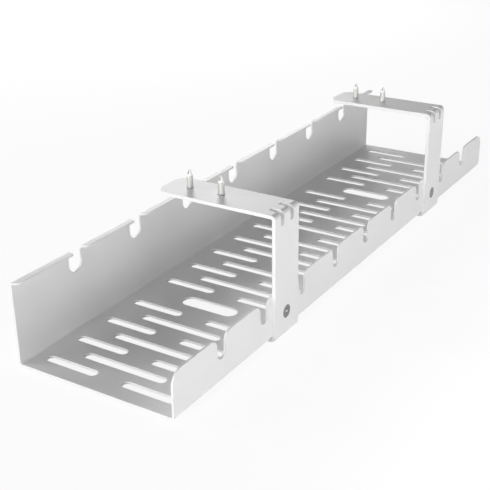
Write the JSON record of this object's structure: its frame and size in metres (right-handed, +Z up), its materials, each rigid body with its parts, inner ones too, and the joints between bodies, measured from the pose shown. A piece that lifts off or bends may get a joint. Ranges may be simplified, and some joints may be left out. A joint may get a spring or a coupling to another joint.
{
  "type": "under-desk cable tray",
  "caption": "Perforated bent-sheet channel with a low notched front and a high notched back, hung under a desk from two C-shaped strap brackets.",
  "frame": {"origin": "centre of the bounding box in plan, at the height of the undersides of the two bracket feet", "axes": "+X along the tray, +Y from the low front wall towards the high back wall, +Z up towards the desk top"},
  "size_m": [0.5, 0.1226, 0.103],
  "materials": {
    "tray_powder_coat": "fine-textured white powder coat on bent steel sheet",
    "bracket_powder_coat": "fine-textured white powder coat on steel strap",
    "dark_screw_steel": "dark zinc, satin",
    "bright_screw_steel": "bright zinc, polished"
  },
  "bodies": {
    "root": {"cable_tray": "tray_powder_coat", "bracket_left": "bracket_powder_coat", "leg_screw_left": "dark_screw_steel", "leg_nut_left": "dark_screw_steel", "desk_screw_left_front": "bright_screw_steel", "desk_screw_left_back": "bright_screw_steel", "bracket_right": "bracket_powder_coat", "leg_screw_right": "dark_screw_steel", "leg_nut_right": "dark_screw_steel", "desk_screw_right_front": "bright_screw_steel", "desk_screw_right_back": "bright_screw_steel"}
  },
  "joints": []
}
